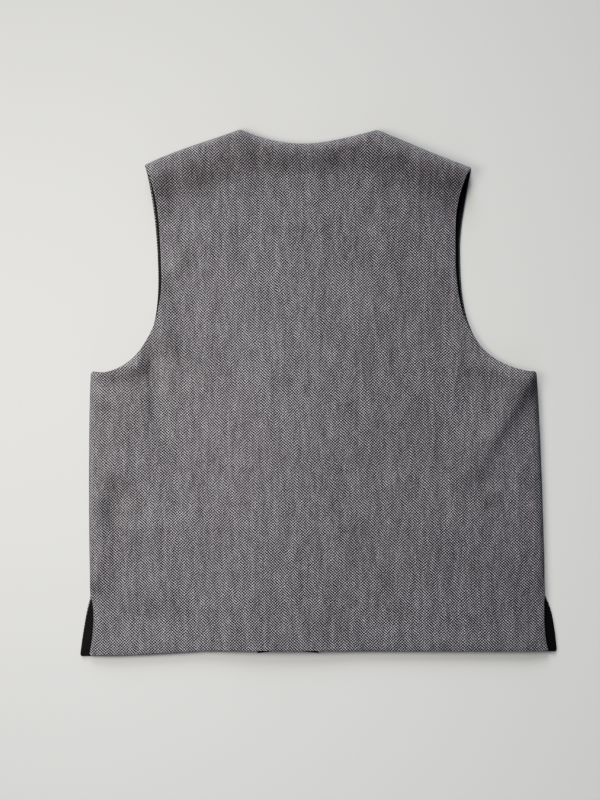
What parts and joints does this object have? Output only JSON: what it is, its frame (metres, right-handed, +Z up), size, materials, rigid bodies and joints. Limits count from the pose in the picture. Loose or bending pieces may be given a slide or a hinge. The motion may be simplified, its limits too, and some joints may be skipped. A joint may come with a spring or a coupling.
{
  "type": "suit waistcoat laid flat",
  "caption": "Boxy sleeveless waistcoat laid flat on its fronts, plain back uppermost, with deep armholes, a shallow back neck, a straight hem and short side vents.",
  "frame": {"origin": "middle of the garment's bounding box, on the surface that it lies on", "axes": "+Z up, out of the back; +Y towards the neck; -X towards the wearer's left"},
  "size_m": [0.5354, 0.593, 0.0134],
  "materials": {
    "wool": "two-tone grey herringbone wool, soft and matt",
    "lining": "black twill lining with a low sheen",
    "button": "dark polished polyester"
  },
  "bodies": {
    "root": {"back": "wool", "front_left": "wool", "front_right": "wool", "front_lining_left": "lining", "front_lining_right": "lining", "button_1": "button", "button_2": "button", "button_3": "button", "button_4": "button"}
  },
  "joints": []
}
